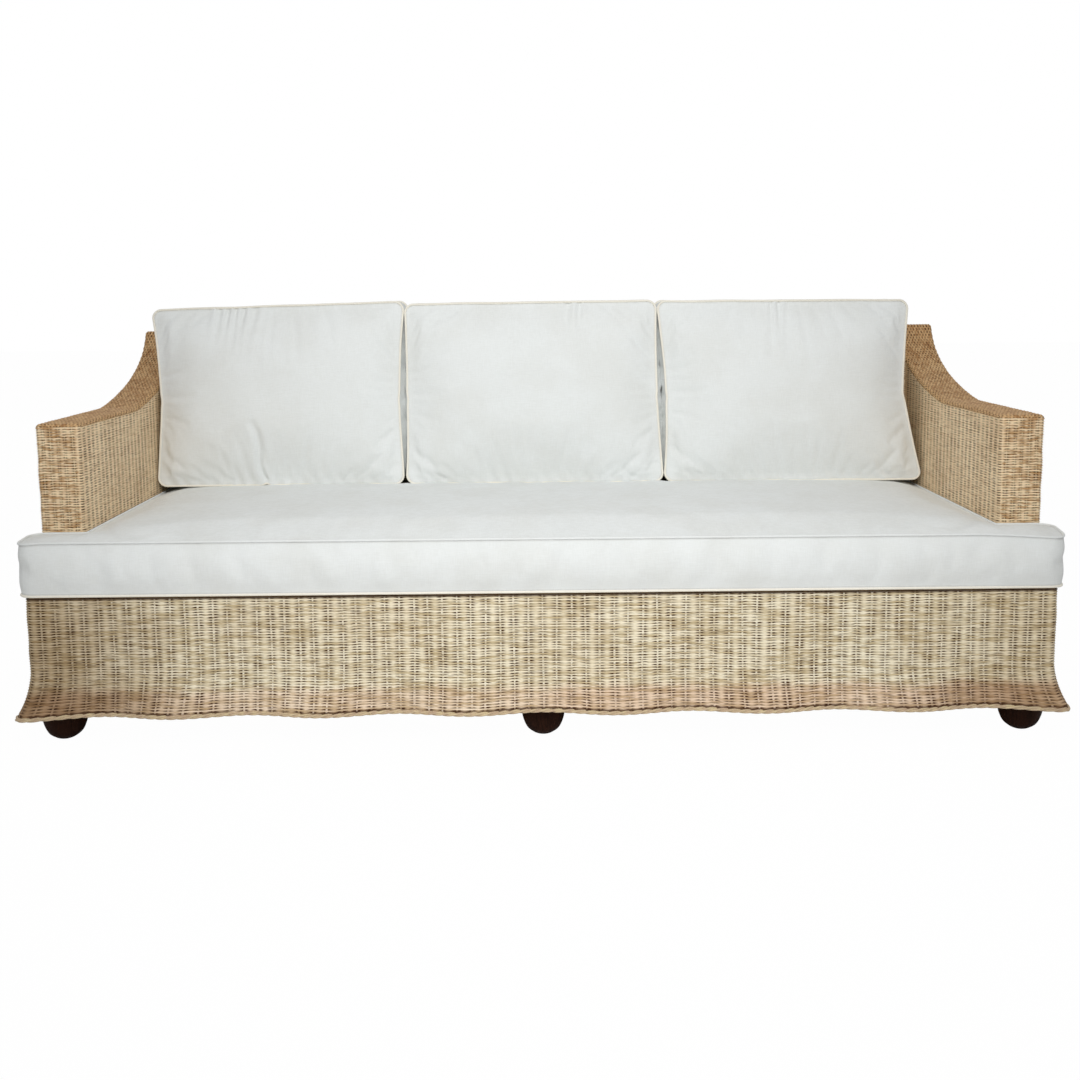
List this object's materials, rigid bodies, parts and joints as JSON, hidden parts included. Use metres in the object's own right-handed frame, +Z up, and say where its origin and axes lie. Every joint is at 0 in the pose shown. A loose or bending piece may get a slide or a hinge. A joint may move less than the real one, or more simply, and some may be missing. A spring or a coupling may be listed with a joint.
{
  "type": "rattan garden sofa",
  "caption": "Long garden sofa: woven rattan skin over a timber frame, flared skirt, low swooping arms, bun feet, loose welted seat and back cushions.",
  "frame": {"origin": "on the floor under the middle of the sofa, at the centre of its plan", "axes": "+X towards the right-hand arm as seen from the front, -Y towards the front, +Z up"},
  "size_m": [2.242, 0.922, 0.9448],
  "materials": {
    "skirt_weave": "woven peeled rattan, pale straw, dry satin",
    "upper_weave": "woven peeled rattan, warmer and browner than the skirt",
    "hem_braid": "plaited rattan, pale",
    "timber": "planed hardwood, unfinished",
    "foot": "turned hardwood, dark stain, satin",
    "cushion_fabric": "plain white outdoor canvas, matt",
    "welt": "corded welt, cream, matt"
  },
  "bodies": {
    "frame": {"arm_post_front_left": "timber", "arm_post_front_right": "timber", "arm_post_rear_left": "timber", "arm_post_rear_right": "timber", "arm_rail_left": "timber", "arm_rail_right": "timber", "arm_weave_left": "upper_weave", "arm_weave_right": "upper_weave", "back_rail": "timber", "back_stud_centre": "timber", "back_stud_left": "timber", "back_stud_right": "timber", "back_weave": "upper_weave", "base_bearer_centre": "timber", "base_rail_front": "timber", "base_rail_left": "timber", "base_rail_rear": "timber", "base_rail_right": "timber", "foot_front_centre": "foot", "foot_front_left": "foot", "foot_front_right": "foot", "foot_rear_centre": "foot", "foot_rear_left": "foot", "foot_rear_right": "foot", "hem_braid": "hem_braid", "seat_bearer_left": "timber", "seat_bearer_right": "timber", "seat_post_front_centre": "timber", "seat_post_front_left": "timber", "seat_post_front_right": "timber", "seat_post_rear_centre": "timber", "seat_post_rear_left": "timber", "seat_post_rear_right": "timber", "seat_rail_front": "timber", "seat_rail_left": "timber", "seat_rail_rear": "timber", "seat_rail_right": "timber", "skirt_front": "skirt_weave", "skirt_left": "skirt_weave", "skirt_rear": "skirt_weave", "skirt_right": "skirt_weave", "slat_1": "timber", "slat_2": "timber", "slat_3": "timber", "slat_4": "timber", "slat_front": "timber"},
    "seat_cushion": {"seat_cushion": "cushion_fabric", "seat_welt_top": "welt", "seat_welt_bottom": "welt"},
    "back_cushion_left": {"back_cushion_left": "cushion_fabric", "back_welt_front_left": "welt", "back_welt_rear_left": "welt"},
    "back_cushion_centre": {"back_cushion_centre": "cushion_fabric", "back_welt_front_centre": "welt", "back_welt_rear_centre": "welt"},
    "back_cushion_right": {"back_cushion_right": "cushion_fabric", "back_welt_front_right": "welt", "back_welt_rear_right": "welt"}
  },
  "joints": [
    {"name": "seat_cushion_lift", "type": "slide", "parent": "frame", "child": "seat_cushion", "axis": [0, 0, 1], "range_m": [0, 0.3]},
    {"name": "back_cushion_lift_left", "type": "slide", "parent": "seat_cushion", "child": "back_cushion_left", "axis": [0, 0, 1], "range_m": [0, 0.3]},
    {"name": "back_cushion_lift_centre", "type": "slide", "parent": "seat_cushion", "child": "back_cushion_centre", "axis": [0, 0, 1], "range_m": [0, 0.3]},
    {"name": "back_cushion_lift_right", "type": "slide", "parent": "seat_cushion", "child": "back_cushion_right", "axis": [0, 0, 1], "range_m": [0, 0.3]}
  ]
}
